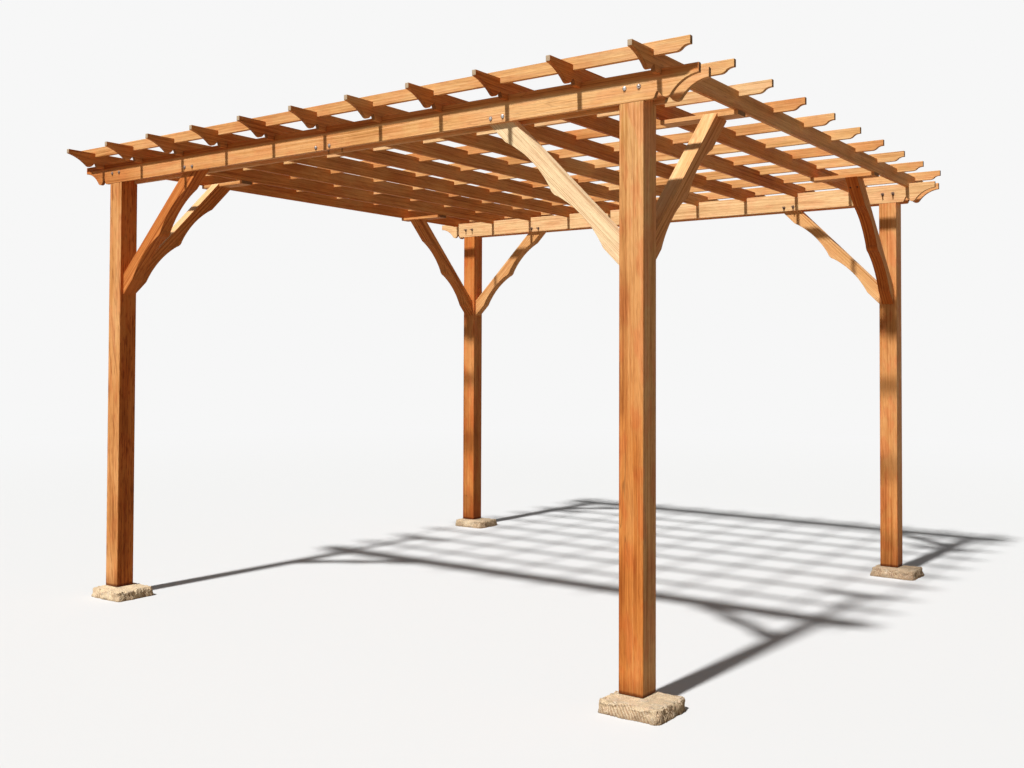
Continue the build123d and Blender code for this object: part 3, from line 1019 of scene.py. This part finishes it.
# The eye's place, how far it is turned, tilted and rolled, in degrees, and its lens
EYE = (4.171, -6.1055, 1.503)
EYE_TURN, EYE_TILT, EYE_ROLL = 36.744, 1.265, 0.229
SENSOR_WIDTH = 36.0
FOCAL_LENGTH = 38.367
LENS_SHIFT = (0.0310, -0.0467)


def seen_ray(net):
    """1 for what the camera sees directly, in metal or through glass."""
    path = net.put("ShaderNodeLightPath").outputs
    seen = net.calc("MAXIMUM", path["Is Camera Ray"], path["Is Glossy Ray"])
    return net.calc("MAXIMUM", seen, path["Is Transmission Ray"])


def lay_floor():
    bpy.ops.mesh.primitive_circle_add(vertices=128, radius=FLOOR_RADIUS, fill_type="NGON")
    floor = bpy.context.object
    floor.name = "studio_floor"
    material = bpy.data.materials.new("studio_floor")
    material.use_nodes = True
    net = Wiring(material.node_tree)
    shader = material.node_tree.nodes["Principled BSDF"]
    pale = paint(FLOOR_PALE, FLOOR_PALE, FLOOR_PALE * 0.99)
    net.feed(shader.inputs["Base Color"], net.mix(seen_ray(net), paint(*FLOOR_BOUNCE), pale))
    shader.inputs["Roughness"].default_value = 0.9
    shader.inputs["Specular IOR Level"].default_value = 0.1
    place = net.put("ShaderNodeTexCoord").outputs["Object"]
    distance = net.put("ShaderNodeVectorMath", {0: place}, operation="LENGTH").outputs["Value"]
    far = net.between(distance, *FADE, smooth=True)
    glow = net.put("ShaderNodeEmission", {"Color": paint(BACKDROP, BACKDROP, BACKDROP), "Strength": 1.0})
    share = net.calc("MULTIPLY", far, net.put("ShaderNodeLightPath").outputs["Is Camera Ray"])
    blend = net.put("ShaderNodeMixShader", {0: share, 1: shader, 2: glow})
    net.feed(material.node_tree.nodes["Material Output"].inputs["Surface"], blend)
    floor.data.materials.append(material)


def set_light():
    scene = bpy.context.scene
    scene.view_settings.view_transform = "Standard"
    sun = bpy.data.objects.new("key_light", bpy.data.lights.new("key_light", "SUN"))
    sun.data.energy = KEY_STRENGTH
    sun.data.angle = math.radians(KEY_WIDTH)
    turn, height = math.radians(KEY_TURN), math.radians(KEY_HEIGHT)
    travel = Vector((
        math.sin(turn) * math.cos(height), math.cos(turn) * math.cos(height), -math.sin(height)))
    sun.rotation_mode = "QUATERNION"
    sun.rotation_quaternion = travel.to_track_quat("-Z", "Y")
    scene.collection.objects.link(sun)
    world = bpy.data.worlds.new("studio")
    scene.world = world
    world.use_nodes = True
    net = Wiring(world.node_tree)
    strength = net.between(seen_ray(net), 0.0, 1.0, FILL_STRENGTH, BACKDROP)
    background = world.node_tree.nodes["Background"]
    background.inputs["Color"].default_value = paint(1.0, 1.0, 1.0)
    net.feed(background.inputs["Strength"], strength)


def set_camera():
    """The eye-level view from beyond the front right corner."""
    turn, tilt, roll = math.radians(EYE_TURN), math.radians(EYE_TILT), math.radians(EYE_ROLL)
    forward = Vector((-math.sin(turn) * math.cos(tilt), math.cos(turn) * math.cos(tilt), math.sin(tilt)))
    lens = bpy.data.cameras.new("camera")
    lens.sensor_width = SENSOR_WIDTH
    lens.lens = FOCAL_LENGTH
    lens.shift_x, lens.shift_y = LENS_SHIFT
    lens.clip_end = 200.0
    camera = bpy.data.objects.new("camera", lens)
    camera.location = EYE
    camera.rotation_mode = "QUATERNION"
    camera.rotation_quaternion = forward.to_track_quat("-Z", "Y") @ Quaternion((0, 0, 1), roll)
    bpy.context.scene.collection.objects.link(camera)
    bpy.context.scene.camera = camera


set_camera()
dress_timbers()
fit_bolts()
fit_screws()
lay_stones()
lay_floor()
set_light()
